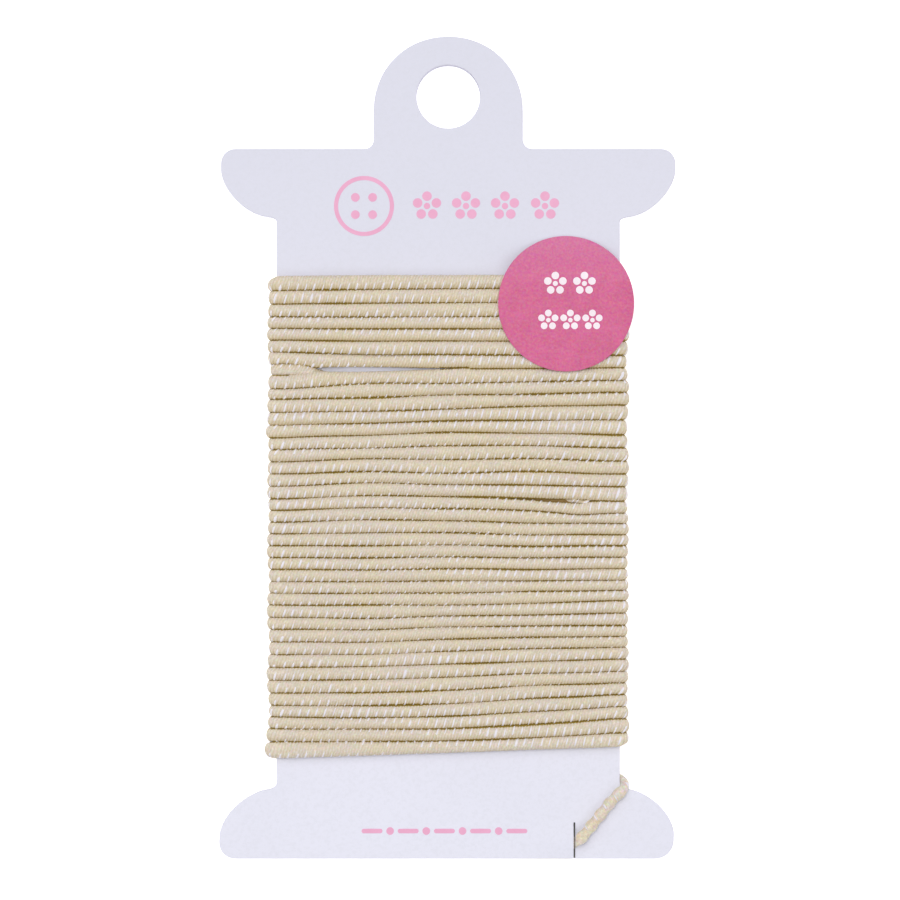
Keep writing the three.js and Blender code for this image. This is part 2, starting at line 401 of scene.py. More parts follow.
# Which way a row of white flecks faces on each turn, in degrees down from straight out of the card;
# the other row faces the opposite way
FLECK_COLUMNS = (300, 450, 600)
FLECK_ANGLES = (
    # turn, left, middle, right
    (1, 50, 42, 35),
    (2, 12, 50, 75),
    (3, 50, 60, 60),
    (4, -70, -52, -40),
    (5, -68, -38, -20),
    (6, 45, 32, 40),
    (7, 45, 155, 170),
    (8, 45, 60, 40),
    (9, 60, 112, 128),
    (10, 35, 75, 130),
    (11, -28, -25, 50),
    (12, -70, -50, 5),
    (13, 45, 82, 45),
    (14, 125, 70, 45),
    (15, 22, 55, 118),
    (16, 45, 120, 210),
    (17, 28, 118, 182),
    (18, 0, 62, 160),
    (19, 45, 115, 132),
    (20, 15, 75, 130),
    (21, 45, 72, 190),
    (22, 48, 80, 132),
    (23, 0, 112, 138),
    (24, 60, 125, 190),
    (25, 45, 105, 130),
    (26, 56, 100, 130),
    (27, 24, 115, 160),
    (28, 60, 120, 135),
    (29, 48, 100, 125),
    (30, 50, 60, 108),
    (31, 48, 18, 35),
    (32, 45, 38, 48),
    (33, 45, 55, 112),
    (34, 50, 60, 35),
    (35, 8, 32, 55),
    (36, 55, 185, 232),
    (37, 65, 135, 225),
    (38, 70, 132, 182),
)

# The wound cord's section and its way round the card's edge
TURN = {
    "straight": 17.96,
    "half_height": 0.72,
    "squeeze": 1.06,
    "board_gap": 0.03,
    "back_z": 0.75,
    "back_half_widths": (0.6, 0.74),
    "off_table": 0.02,
    "pitch": 1.4,
    "touching_pitch": 1.6,
    "edge_reach": {-1: 1.47, 1: 1.4},
    "edge_half_height": 0.46,
    "squareness": 0.77,
    "edge_steps": 14,
}
TAIL = {"from_x": -12.0, "y": 19.35}
# Loops round the edge that differ: how far out and up they are moved, and how thick they are
UNEVEN_LOOPS = (
    # turn, side, out, up, thickness
    (1, -1, 0.0, -0.2, 0.8),
    (7, -1, 0.0, 0.0, 1.08),
    (12, -1, 0.2, 0.0, 1.0),
    (38, -1, 0.2, 0.22, 0.84),
    (38, 1, 0.0, 0.2, 0.8),
)

# Turns whose end is followed, on the back, by the start of the next piece of cord
PIECE_ENDS = (7, 13, 19, 25, 32)


def wobble(x, row, size=1.0):
    """Smooth noise of about -size to size along x, different for each row."""
    return size * noise.noise(Vector((x, 7.31 * row, 2.7)))


def edge_on_front(turn, x):
    """The height of a turn's lower edge on the front."""
    rows = [row[0] for row in TURN_EDGES]
    heights = [
        ORIGIN_PIXEL[1] - np.interp(turn, rows, [row[which] for row in TURN_EDGES])
        for which in (1, 2, 3)
    ]
    left, middle, right = ((pixel - ORIGIN_PIXEL[0]) * PIXEL for pixel in EDGE_COLUMNS)
    left_column, middle_column, right_column = EDGE_COLUMNS
    weights = (
        (x - middle) * (x - right) / ((left - middle) * (left - right)),
        (x - left) * (x - right) / ((middle - left) * (middle - right)),
        (x - left) * (x - middle) / ((right - left) * (right - middle)),
    )
    height = sum(w * h for w, h in zip(weights, heights))
    for far_column, which in ((left_column, 1), (right_column, 2)):
        share = (x / PIXEL + ORIGIN_PIXEL[0] - middle_column) / (far_column - middle_column)
        if 0 < share < 1:
            height -= read_row(TURN_SAGS, turn, which) * math.sin(math.pi * share) ** 2
    height -= VALLEY_SHIFT["down"] + VALLEY_SHIFT["inward"] * height
    return PIXEL * height + wobble(x * 0.11, turn, 0.04)


# The open wedge above the eighth turn, and the gap that the cord's frayed start holds open: the
# pixel column, the row of the upper turn's lower edge and that of the lower turn's upper edge
WEDGE_TURN = 7
WEDGE = (
    (268, 363.3, 376.3),
    (290, 364.1, 375.1),
    (306, 366.2, 373.2),
    (316, 367.6, 371.2),
    (330, 367.0, 371.9),
    (354, 366.8, 372.1),
    (388, 367.0, 371.4),
    (434, 368, 369.7),
    (470, 367.8, 367.8),
)
WEDGE_MIDDLE = -7.5
# Between which columns the wedge is open to the board, for the turn below it and the one above
WEDGE_OPEN = {"below": (290, 440), "above": (312, 440)}
# Where the frayed end of a piece of cord holds two turns apart: the pixel column, how far the turn
# above is lifted and how far the upper and the lower edge of the turn below are pushed down
KNOT_TURN = 17
KNOT = (
    (495, 0, 0, 0),
    (530, 0.2, 1.2, 0.6),
    (545, 0.3, 2.4, 1.3),
    (560, 0.4, 3.0, 2.4),
    (572, 0.3, 3.3, 3.4),
    (580, 0, 3.3, 3.6),
    (588, 0, 1.5, 3.2),
    (600, 0, 0, 2.0),
    (616, 0, 0, 0.6),
    (630, 0, 0, 0),
)


def read_row(rows, column, which):
    """A value of a table at a pixel column that lies between two of its rows."""
    return float(np.interp(column, [row[0] for row in rows], [row[which] for row in rows]))


def turn_edges(turn, x):
    """The upper and lower edges of a turn on the front, and whether it touches a neighbour there."""
    upper = edge_on_front(turn - 1, x)
    lower = edge_on_front(turn, x)
    touches = [turn > 1, turn < TURNS]
    column = x / PIXEL + ORIGIN_PIXEL[0]
    if column < WEDGE[-1][0]:
        if turn == WEDGE_TURN:
            lower = (ORIGIN_PIXEL[1] - read_row(WEDGE, column, 1)) * PIXEL
            # Over the open wedge the turn's lower side still gets painted shade, a little less than
            # against a neighbour
            touches[1] = 0.9 if WEDGE_OPEN["above"][0] < column < WEDGE_OPEN["above"][1] else 1
        if turn == WEDGE_TURN + 1:
            upper = (ORIGIN_PIXEL[1] - read_row(WEDGE, column, 2)) * PIXEL
            touches[0] = not WEDGE_OPEN["below"][0] < column < WEDGE_OPEN["below"][1]
    if turn == KNOT_TURN:
        lower += read_row(KNOT, column, 1) * PIXEL
    if turn == KNOT_TURN + 1:
        upper -= read_row(KNOT, column, 2) * PIXEL
        lower -= read_row(KNOT, column, 3) * PIXEL
    if turn == KNOT_TURN + 2:
        upper -= read_row(KNOT, column, 3) * PIXEL
    return upper, lower, touches


def front_station(turn, x):
    """The middle of a turn on the front: its place, half height, half width and neighbours."""
    upper, lower, touches = turn_edges(turn, x)
    half_height = TURN["half_height"] + 0.04 * math.sin(2.4 * turn) + wobble(x * 0.09, turn + 50, 0.03)
    if turn in (WEDGE_TURN, WEDGE_TURN + 1):
        half_height -= 0.3 * near(x, WEDGE_MIDDLE, 12.0)
    y = (upper + lower) / 2
    z = BOARD_FACE + TURN["board_gap"] + half_height
    return x, y, z, half_height, TURN["squeeze"] * (upper - lower) / 2, touches


def back_height(turn, x):
    """The height of the back run that leads from one turn's left end to the next one's right end."""
    side = TURN["straight"]
    share = (x + side) / (2 * side)
    if turn == 0:
        along_tail = max(0, x - TAIL["from_x"]) / (side - TAIL["from_x"])
        return TAIL["y"] + (front_station(1, side)[1] - TAIL["y"]) * along_tail
    start = front_station(turn, -side)[1]
    end = front_station(min(turn + 1, TURNS), side)[1]
    if turn == TURNS:
        end = LOOSE_ROUTE[LOOSE_AT_EDGE][1]
        start = LOOSE_ROUTE[0][1]
    return start + (end - start) * share + wobble(x * 0.08, turn + 90, 0.05) * math.sin(math.pi * share)


def back_station(turn, x):
    """The middle of a back run: its place, half height, half width and neighbours."""
    y = back_height(turn, x)
    above = back_height(turn - 1, x) - y if turn > 1 else TURN["pitch"]
    below = y - back_height(turn + 1, x) if turn < TURNS else TURN["pitch"]
    narrowest, widest = TURN["back_half_widths"]
    half_width = min(widest, max(narrowest, (above + below) / 4))
    z = TURN["back_z"] + 0.02 * math.sin(1.7 * turn)
    half_height = min(TURN["half_height"], z - TURN["off_table"])
    touch = TURN["touching_pitch"]
    return x, y, z, half_height, half_width, [turn > 0 and above < touch, below < touch]


def round_the_edge(front, back, side, to_back, turn):
    """The stations between a front run and a back run, round the card's left or right edge."""
    stations = []
    steps = TURN["edge_steps"]
    reach = TURN["edge_reach"][side]
    reach += 0.13 * math.sin(5.1 * turn + side) + 0.07 * math.sin(11.3 * turn)
    uneven = {row[:2]: row[2:] for row in UNEVEN_LOOPS}
    further, higher, thickness = uneven.get((int(turn), side), (0.0, 0.0, 1.0))
    reach += further
    for step in range(1, steps):
        share = step / steps if to_back else 1 - step / steps
        angle = math.pi * share
        out = abs(math.sin(angle)) ** TURN["squareness"]
        along = math.copysign(abs(math.cos(angle)) ** TURN["squareness"], math.cos(angle))
        middle = (front[2] + back[2]) / 2
        eased = share * share * (3 - 2 * share)
        straight_height = front[3] + (back[3] - front[3]) * eased
        changed = math.sin(angle) ** 2 if share < 0.5 else math.sin(angle) ** 4
        stations.append((
            side * (TURN["straight"] + reach * out),
            front[1] + (back[1] - front[1]) * eased + higher * changed,
            middle + (front[2] - back[2]) / 2 * along,
            straight_height + (TURN["edge_half_height"] - straight_height) * math.sin(angle) ** 2,
            (front[4] + (back[4] - front[4]) * eased) * (1 + (thickness - 1) * changed),
            front[5] if share < 0.5 else back[5],
        ))
    return stations


def wound_cord():
    """The whole wound cord as stations, the fleck angle at each, and where its pieces end."""
    side = TURN["straight"]
    stations = []
    angles = []
    ends = []
    fleck_rows = {row[0]: row[1:] for row in FLECK_ANGLES}
    front_xs = np.linspace(side, -side, round(2 * side / FRONT_STEP) + 1)
    back_xs = np.linspace(-side, side, round(2 * side / BACK_STEP) + 1)
    tail_xs = np.linspace(TAIL["from_x"], side, round((side - TAIL["from_x"]) / BACK_STEP) + 1)
    stations += [back_station(0, x) for x in tail_xs]
    angles.append((0, fleck_rows[1][2] + 40))
    for turn in range(1, TURNS + 1):
        front = [front_station(turn, x) for x in front_xs]
        back = [back_station(turn, x) for x in back_xs]
        stations += round_the_edge(front[0], stations[-1], 1, False, turn)
        xs = [at_pixel(column, 0)[0] for column in FLECK_COLUMNS]
        for x, angle in reversed(list(zip(xs, fleck_rows[turn]))):
            angles.append((len(stations) + round((side - x) / FRONT_STEP), angle))
        stations += front
        if turn == TURNS:
            start_x, start_y, start_z = LOOSE_ROUTE[0]
            section = (start_z, LOOSE_RADIUS, LOOSE_RADIUS, [True, False])
            back[0] = (-side, start_y + 0.16, *section)
        stations += round_the_edge(front[-1], back[0], -1, True, turn + 0.5)
        if turn == TURNS:
            stations += [back[0], (start_x, start_y, *section)]
            stations.append((start_x + 0.15, start_y - 0.03, *section))
            continue
        stations += back
        if turn in PIECE_ENDS:
            ends.append(len(stations) - len(back) // 2)
    indices, values = zip(*angles)
    return stations, np.interp(range(len(stations)), indices, values), ends


def unit(rows):
    return rows / np.linalg.norm(rows, axis=1)[:, None]


class CordLine:
    """A cord's middle line with its section at each station, and places on its surface. The
    section, the shade in the valleys at its two sides and the way that the flecks face are given
    for each station, or once for all."""

    def __init__(self, places, half_heights, half_widths, valleys=(0, 0), fleck_angles=0,
                 outward=None, wrap=WRAP):
        self.places = np.array([tuple(place) for place in places], float)
        count = len(self.places)
        self.half_heights = np.broadcast_to(np.array(half_heights, float), count)
        self.half_widths = np.broadcast_to(np.array(half_widths, float), count)
        self.valleys = np.broadcast_to(np.array(valleys, float), (count, 2))
        self.fleck_angles = np.broadcast_to(np.array(fleck_angles, float), count)
        self.wrap = wrap
        self.fleck_reach = FLECK["reach"]
        steps = np.linalg.norm(np.diff(self.places, axis=0), axis=1)
        self.lengths = np.concatenate([[0], np.cumsum(steps)])
        along = unit(np.gradient(self.places, self.lengths, axis=0))
        if outward is None:
            self.outward = unit(np.cross(along, np.array([0, -1, 0])))
        else:
            self.outward = carried_along(along, outward)
        self.down = unit(np.cross(self.outward, along))

    def at(self, length, angle, lift):
        """The place on the surface at a length along and an angle round, both arrays, in radians."""
        def read(rows):
            return np.interp(length, self.lengths, rows)

        def read_places(rows):
            return np.stack([read(rows[:, i]) for i in range(3)], axis=-1)

        out = (read(self.half_heights) + lift) * np.cos(angle)
        sideways = (read(self.half_widths) + lift) * np.sin(angle)
        return (
            read_places(self.places)
            + read_places(self.outward) * out[..., None]
            + read_places(self.down) * sideways[..., None]
        )


def carried_along(along, outward):
    """The outward direction at the first station, carried along the line without twisting."""
    rows = [np.array(outward, float)]
    for direction in along[1:]:
        carried = rows[-1] - direction * np.dot(rows[-1], direction)
        rows.append(carried / np.linalg.norm(carried))
    return np.array(rows)


def cord_mesh(name, line, first, last, materials, plump=0.014):
    """The cord from its first to its last station, closed at both ends, with its white flecks."""
    count = last - first + 1
    angles = np.linspace(0, 2 * math.pi, CORD_SIDES, endpoint=False)
    lengths = np.repeat(line.lengths[first:last + 1, None], CORD_SIDES, axis=1)
    angle_grid = np.repeat(angles[None, :], count, axis=0)
    gap, climb = line.wrap["fleck_gap"], line.wrap["climb"]
    wraps = (lengths - line.wrap["start"]) / gap
    swell = -plump * np.cos(2 * math.pi * wraps - round(climb / gap) * angle_grid)
    surface = line.at(lengths, angle_grid, swell).reshape(-1, 3)
    # Painted shade for the cord's sides, from the valleys' numbers, signed so that the lower side
    # differs from the upper
    side = np.sin(angle_grid)
    neighbours = line.valleys[first:last + 1]
    valley_shade = np.where(side < 0, neighbours[:, :1] * side, neighbours[:, 1:] * side).reshape(-1)

    ring = np.arange(CORD_SIDES)
    start = (np.arange(count - 1) * CORD_SIDES)[:, None]
    after = (ring + 1) % CORD_SIDES
    quads = np.stack(
        [start + ring, start + CORD_SIDES + ring, start + CORD_SIDES + after, start + after], axis=-1
    ).reshape(-1, 4)
    u = line.lengths[first:last + 1] / climb
    v = np.arange(CORD_SIDES + 1) / CORD_SIDES
    u_low, u_high = np.repeat(u[:-1], CORD_SIDES), np.repeat(u[1:], CORD_SIDES)
    v_low, v_high = np.tile(v[:-1], count - 1), np.tile(v[1:], count - 1)
    uvs = np.stack([
        np.stack([u_low, v_low], -1), np.stack([u_high, v_low], -1),
        np.stack([u_high, v_high], -1), np.stack([u_low, v_high], -1),
    ], axis=1).reshape(-1, 2)

    points, faces, fleck_uvs = white_flecks(line, first, last, len(surface))
    mesh = bpy.data.meshes.new(name)
    last_ring = range((count - 1) * CORD_SIDES, count * CORD_SIDES)
    caps = [tuple(range(CORD_SIDES)), tuple(reversed(last_ring))]
    vertices = np.concatenate([surface, points]) * MM
    mesh.from_pydata(vertices.tolist(), [], quads.tolist() + faces.tolist() + caps)
    for material in materials:
        mesh.materials.append(material)
    slots = np.zeros(len(mesh.polygons), dtype=np.int32)
    slots[len(quads):len(quads) + len(faces)] = 1
    mesh.polygons.foreach_set("material_index", slots)
    wrap = mesh.uv_layers.new(name="wrap")
    cap_uvs = np.zeros((2 * CORD_SIDES, 2))
    wrap.data.foreach_set("uv", np.concatenate([uvs, fleck_uvs, cap_uvs]).reshape(-1))
    depth = mesh.attributes.new("valley_shade", "FLOAT", "POINT")
    depth.data.foreach_set("value", np.concatenate([valley_shade, np.zeros(len(points))]))
    mesh.shade_smooth()
    mesh.update()
    piece = bpy.data.objects.new(name, mesh)
    bpy.context.collection.objects.link(piece)
    return piece


def white_flecks(line, first, last, offset):
    """Short white floats, two to each step along the cord: each is a slim closed ridge that sinks
    into the cord at its ends."""
    gap, climb = line.wrap["fleck_gap"], line.wrap["climb"]
    margin = max(gap, climb)
    begins, stops = line.lengths[first] + margin, line.lengths[last] - margin
    steps = np.arange(math.ceil(begins / gap), math.floor(stops / gap))
    numbers = np.repeat(steps, 2)
    far_side = np.tile([0.0, math.pi], len(steps))
    chance = np.random.default_rng(17 + first)
    scatter = chance.normal(0, 1, (4, len(numbers)))
    middle = np.radians(np.interp(numbers * gap, line.lengths, line.fleck_angles) + 8 * scatter[0])
    reach = np.radians(line.fleck_reach * (1 + 0.2 * scatter[1]))
    across = np.linspace(-1, 1, FLECK_STATIONS)
    turned = middle[:, None] + reach[:, None] * across
    length = gap * (numbers + 0.035 * scatter[3])[:, None] + climb * turned / (2 * math.pi)
    length += line.wrap["start"]
    angle = turned + far_side[:, None]
    taper = 1 - np.abs(across) ** 3
    half_width = FLECK["half_width"] * (0.35 + 0.65 * taper) * (1 + 0.22 * scatter[2][:, None])
    stands = FLECK["stands"] * taper - FLECK["sinks"] * (1 - taper)
    corners = []
    for shift, raised in ((-1.0, False), (-0.5, True), (0.5, True), (1.0, False)):
        lift = np.broadcast_to(stands if raised else -FLECK["sinks"] - 0.01, angle.shape)
        corners.append(line.at(length + shift * half_width, angle, lift))
    points = np.stack(corners, axis=2).reshape(-1, 3)
    quads = []
    for start in range(0, 4 * (FLECK_STATIONS - 1), 4):
        for corner in range(4):
            other = (corner + 1) % 4
            quads.append((start + corner, start + other, start + 4 + other, start + 4 + corner))
    quads.append((3, 2, 1, 0))
    quads.append(tuple(range(4 * (FLECK_STATIONS - 1), 4 * FLECK_STATIONS)))
    base = (np.arange(len(numbers)) * 4 * FLECK_STATIONS)[:, None, None] + offset
    faces = (base + np.array(quads)[None]).reshape(-1, 4)[:, ::-1]
    return points, faces, np.zeros((len(faces) * 4, 2))


# The loose end: from the last turn across the back, round the waist's edge and through the slit.
# LOOSE_AT_EDGE and LOOSE_IN_VIEW are the points of its route at the waist's edge and midway between
# the edge and the slit.
LOOSE_RADIUS = 0.62
LOOSE_AT_EDGE = 7
LOOSE_IN_VIEW = 15
LOOSE_FRONT_Z = 3.2
LOOSE_ROUTE = (
    (-17, -33.95, 0.76),
    (-12, -34.75, 0.76),
    (-6, -35.4, 0.76),
    (0, -35.85, 0.76),
    (6, -36.2, 0.76),
    (12, -36.5, 0.76),
    (16.5, -36.6, 0.76),
    (18.1, -36.68, 0.76),
    (18.85, -36.74, 0.95),
    (19.25, -36.9, 1.4),
    (19.5, -37.13, 2.1),
    (19.5, -37.38, 2.65),
    (19.26, -37.64, 3.02),
    (18.66, -38.18, LOOSE_FRONT_Z),
    (17.9, -38.95, LOOSE_FRONT_Z),
    (16.96, -40.12, LOOSE_FRONT_Z),
    (15.84, -41.47, LOOSE_FRONT_Z),
    (14.95, -42.57, LOOSE_FRONT_Z),
    (14.48, -43.09, 3.08),
    (14.12, -43.37, 2.65),
    (13.88, -43.5, 2.1),
    (13.62, -43.85, 1.35),
    (13.1, -44.2, 0.9),
    (12.2, -44.4, 0.76),
    (10.9, -44.4, 0.76),
    (9.8, -44.3, 0.76),
)
LOOSE_WRAP = {"climb": 0.79, "fleck_gap": 1.58, "threads": 3, "start": 0.35}
# How the cord gives: at the waist's edge it is drawn in and thinner, and in the slit it is pinched
EDGE_PINCH = {"from_x": 18.6, "z": 2.1, "reach": 1.3, "by": 0.18}
SLIT_PINCH = {"below_y": -42.3, "left_of_x": 15.2, "reach": (1.3, 1.0), "by": 0.75, "wall": 0.1}
LOOSE_FLECKS = {"reach": 46.0, "middle": -27, "turn_per_mm": -12.6}
SLIT = {"x": 13.88, "top": -41.29, "width": 0.15, "slant": 0.3, "lift": 0.42, "spread": 3.2}


def smooth_route(route, step=0.2):
    """Points close together on a smooth line through the route's points."""
    points = [Vector(point) for point in route]
    points = [2 * points[0] - points[1], *points, 2 * points[-1] - points[-2]]
    line = []
    for corners in zip(points, points[1:], points[2:], points[3:]):
        times = [0.0]
        for a, b in zip(corners, corners[1:]):
            times.append(times[-1] + math.sqrt((b - a).length))
        steps = max(2, round((corners[2] - corners[1]).length / step))
        for i in range(steps):
            time = times[1] + (times[2] - times[1]) * i / steps
            first = [blend(corners, times, k, k + 1, time) for k in range(3)]
            second = [
                first[k].lerp(first[k + 1], (time - times[k]) / (times[k + 2] - times[k]))
                for k in range(2)
            ]
            line.append(second[0].lerp(second[1], (time - times[1]) / (times[2] - times[1])))
    line.append(points[-2])
    return line


def blend(corners, times, k, after, time):
    """The place between two corners of a route at a time."""
    return corners[k].lerp(corners[after], (time - times[k]) / (times[after] - times[k]))


def near(value, middle, reach):
    """1 at the middle, easing to 0 at the reach."""
    share = max(0.0, 1 - abs(value - middle) / reach)
    return share * share * (3 - 2 * share)


def loose_end(materials):
    """The cord after its last turn, squeezed at the card's edge and in the slit."""
    route = smooth_route(LOOSE_ROUTE)
    places = []
    heights = []
    widths = []
    for point in route:
        at_edge = near(point.z, EDGE_PINCH["z"], EDGE_PINCH["reach"])
        pinch = EDGE_PINCH["by"] * at_edge if point.x > EDGE_PINCH["from_x"] else 0.0
        places.append((point.x - pinch, point.y, point.z))
        heights.append(LOOSE_RADIUS - pinch)
        widths.append(LOOSE_RADIUS + 0.05 * near(point.z, LOOSE_FRONT_Z, 1.0))
    line = CordLine(places, heights, widths, (0.35, -0.5), 0, (0, 0, -1), LOOSE_WRAP)
    line.fleck_reach = LOOSE_FLECKS["reach"]
    in_view = Vector(LOOSE_ROUTE[LOOSE_IN_VIEW])
    seen = min(range(len(route)), key=lambda i: (route[i] - in_view).length)
    upward = math.degrees(math.atan2(line.down[seen][2], line.outward[seen][2]))
    further = line.lengths - line.lengths[seen]
    line.fleck_angles = upward + LOOSE_FLECKS["middle"] + LOOSE_FLECKS["turn_per_mm"] * further
    piece = cord_mesh("loose_cord_end", line, 0, len(route) - 1, materials, plump=0.07)
    for vertex in piece.data.vertices:
        x, y, z = vertex.co / MM
        if y < SLIT_PINCH["below_y"] and x < SLIT_PINCH["left_of_x"]:
            reach_x, reach_z = SLIT_PINCH["reach"]
            squeeze = near(z, BOARD_MIDDLE, reach_z) * near(x, SLIT["x"], reach_x)
            x = SLIT["x"] + (x - SLIT["x"]) * (1 - SLIT_PINCH["by"] * squeeze)
            if z > BOARD_MIDDLE - 0.2:
                x = max(x, SLIT["x"] + SLIT_PINCH["wall"])
            vertex.co.x = x * MM
    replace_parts(piece, "loose_end")
    return piece


def settle(piece):
    """A finished piece of the object: it moves with the card."""
    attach(piece, "root")
    return piece


white_fleck = white_thread()
thread_materials = (wrapped_thread("cream thread wrap", WRAP["threads"], thread_shade_and_relief=0.85), white_fleck)
loose_thread = wrapped_thread(
    "cream thread wrap of the loose end", LOOSE_WRAP["threads"],
    thread_shade_and_relief=0.1, speckled=0.28, speckle_size=2.2, mottles=0.5, sheen=0.6,
)
settle(loose_end((loose_thread, white_fleck)))


def wind_the_cord():
    """The turns round the waist, in pieces that follow on from each other."""
    stations, fleck_angles, ends = wound_cord()
    line = CordLine(
        [station[:3] for station in stations],
        [station[3] for station in stations],
        [station[4] for station in stations],
        [[float(touch) for touch in station[5]] for station in stations],
        fleck_angles,
    )
    first = 0
    first_turns = (1, *(turn + 1 for turn in PIECE_ENDS))
    last_turns = (*PIECE_ENDS, TURNS)
    for first_turn, last_turn, last in zip(first_turns, last_turns, (*ends, len(stations) - 1)):
        name = f"turns_{first_turn}_to_{last_turn}"
        piece = settle(cord_mesh(name, line, first, last, thread_materials))
        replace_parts(piece, "winding")
        first = last


wind_the_cord()

# The part of a turn that shows in the wedge at the left edge, and slips under the eighth turn
SHORT_TURN = (
    (-12.0, 8.6, 0.95),
    (-15.5, 8.55, 0.8),
    (-17.7, 8.5, 0.76),
    (-18.7, 8.5, 1.05),
    (-19.12, 8.5, 1.6),
    (-19.2, 8.5, 2.1),
    (-19.12, 8.5, 2.7),
    (-18.7, 8.49, 3.12),
    (-17.9, 8.5, 3.2),
    (-16.6, 8.5, 3.12),
    (-15.9, 8.45, 3.0),
    (-15.2, 8.28, 2.82),
    (-14.5, 8.0, 2.58),
    (-13.4, 7.62, 2.2),
)


SHORT_TURN_SIZE = {"radius": 0.64, "pinch_x": -19.2, "pinch_reach": 1.2, "pinch": 0.28}


def short_turn():
    route = smooth_route(SHORT_TURN)
    size = SHORT_TURN_SIZE
    heights = [
        size["radius"] - size["pinch"] * near(point.x, size["pinch_x"], size["pinch_reach"])
        for point in route
    ]
    line = CordLine(route, heights, size["radius"], (0.9, 0.5), 60, (0, 0, -1))
    mesh = cord_mesh("short_turn", line, 0, len(route) - 1, thread_materials)
    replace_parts(settle(mesh), "winding")


short_turn()

# The end of a piece of cord that is tucked between two turns, and the bit of it that rises to the
# light: the pixel column and row, and the height. FRAY has the threads that the end has let go.
TUCKED_END = (
    (508, 498.2, 2.62), (530, 499.4, 2.7), (545, 500.1, 2.8),
    (562, 501.0, 2.85), (580, 502.6, 2.8), (600, 501.5, 2.6),
)
RAISED_END = (
    (558, 498.7, 2.75), (567, 499.2, 3.0), (575, 500.3, 3.1), (581, 501.4, 3.15), (586, 502.2, 3.0),
)
FRAY_Z = (3.4, 3.45)
FRAY = (
    # from column and row, to column and row, arch, radius, 0 for cream and 1 for white
    (569, 499.8, 582, 500.9, 0.15, 0.065, 0),
    (571.5, 502.6, 575, 498.8, 0.2, 0.06, 1),
    (575.5, 503, 579, 499.2, 0.2, 0.06, 1),
    (582, 503.3, 589, 501, 0.1, 0.14, 1),
    (580, 502.4, 592, 499.4, 0.2, 0.065, 0),
    (588, 500, 601, 498.7, 0.05, 0.09, 0),
    (574, 501.5, 587, 503.2, 0.15, 0.06, 0),
)


def thin_thread(points, radius, sides=6):
    """The vertices and faces of one thin thread, closed and tapered at its ends."""
    count = len(points)
    line = CordLine(points, radius, radius, outward=(0, 0.2, 1))
    turn = np.linspace(0, 2 * math.pi, sides, endpoint=False)
    lengths = np.repeat(line.lengths[:, None], sides, axis=1)
    share = lengths / line.lengths[-1]
    taper = radius * (np.sin(math.pi * np.clip(share, 0.06, 0.94)) ** 0.5 - 1)
    vertices = line.at(lengths, np.repeat(turn[None, :], count, axis=0), taper).reshape(-1, 3)
    faces = []
    for i in range(count - 1):
        for j in range(sides):
            k = (j + 1) % sides
            faces.append((i * sides + j, (i + 1) * sides + j, (i + 1) * sides + k, i * sides + k))
    faces.append(tuple(range(sides)))
    faces.append(tuple(reversed(range((count - 1) * sides, count * sides))))
    return vertices * MM, faces


def frayed_end():
    """The tucked end of the cord, coloured with painted shade between the turns, and its loose threads
    above it.
    """
    cream = thread_materials[0]
    painted_shade_cord = shaded_thread()
    for name, table, radius, material in (
        ("tucked_cord_end", TUCKED_END, 0.36, painted_shade_cord), ("raised_cord_end", RAISED_END, 0.32, cream)
    ):
        route = smooth_route([(*at_pixel(column, row), z) for column, row, z in table])
        radii = [radius * min(1.0, 0.3 + 0.1 * i) for i in range(len(route))]
        line = CordLine(route, radii, radii, (0.8, 0.8), 180, (0, 0, 1))
        stub = cord_mesh(name, line, 0, len(route) - 1, (material, material))
        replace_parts(settle(stub), "winding")
    vertices = []
    faces = []
    thread_slots = []
    for from_column, from_row, to_column, to_row, arch, radius, thread_slot in FRAY:
        start = Vector((*at_pixel(from_column, from_row), FRAY_Z[0]))
        end = Vector((*at_pixel(to_column, to_row), FRAY_Z[1]))
        top = (start + end) / 2 + Vector((0, 0.04, arch))
        points, quads = thin_thread(smooth_route([start, top, end], 0.12), radius)
        faces += [tuple(corner + len(vertices) for corner in quad) for quad in quads]
        thread_slots += [thread_slot] * len(quads)
        vertices += points.tolist()
    mesh = bpy.data.meshes.new("frayed_threads")
    mesh.from_pydata(vertices, [], faces)
    for material in thread_materials:
        mesh.materials.append(material)
    mesh.polygons.foreach_set("material_index", thread_slots)
    mesh.shade_smooth()
    piece = bpy.data.objects.new("frayed_threads", mesh)
    bpy.context.collection.objects.link(piece)
    settle(piece)
    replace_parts(piece, "winding")


frayed_end()

# The card

CARD = {
    "top": 45.15,
    "bottom": -45.28,
    "wing_half": 25.0,
    "waist_half": 18.87,
    "tab_half": 8.2,
    "shoulder_y": 32.8,
    "shoulder_hollow": 1.0,
    "wing_corner": 1.6,
    "foot_corner": 1.9,
    "tab_square": 2.06,
    "foot_shift": -0.3,
}
# The flank of a wing and of a foot: where the waist ends, the corner and end of the small hollow
# there, the two handles of the brow's curve and the height where the card is widest
WING = {"from_y": 24.72, "corner_y": 25.18, "hollow": (19.8, 25.3), "handle": (22.6, 25.6),
        "handle_y": 28.6, "wide_y": 30.5}
FOOT = {"from_y": -36.8, "corner_y": -37.58, "hollow": (20.0, -37.7), "handle": (22.0, -38.0),
        "handle_y": -40.4, "wide_y": -42.8}
HANG_HOLE = {"y": 38.56, "radius": 3.5, "slant": 0.14}


def arc(x, y, radius, from_degrees, to_degrees, steps):
    """Points on an arc, both ends included."""
    points = []
    for step in range(steps + 1):
        angle = math.radians(from_degrees + (to_degrees - from_degrees) * step / steps)
        points.append((x + radius * math.cos(angle), y + radius * math.sin(angle)))
    return points


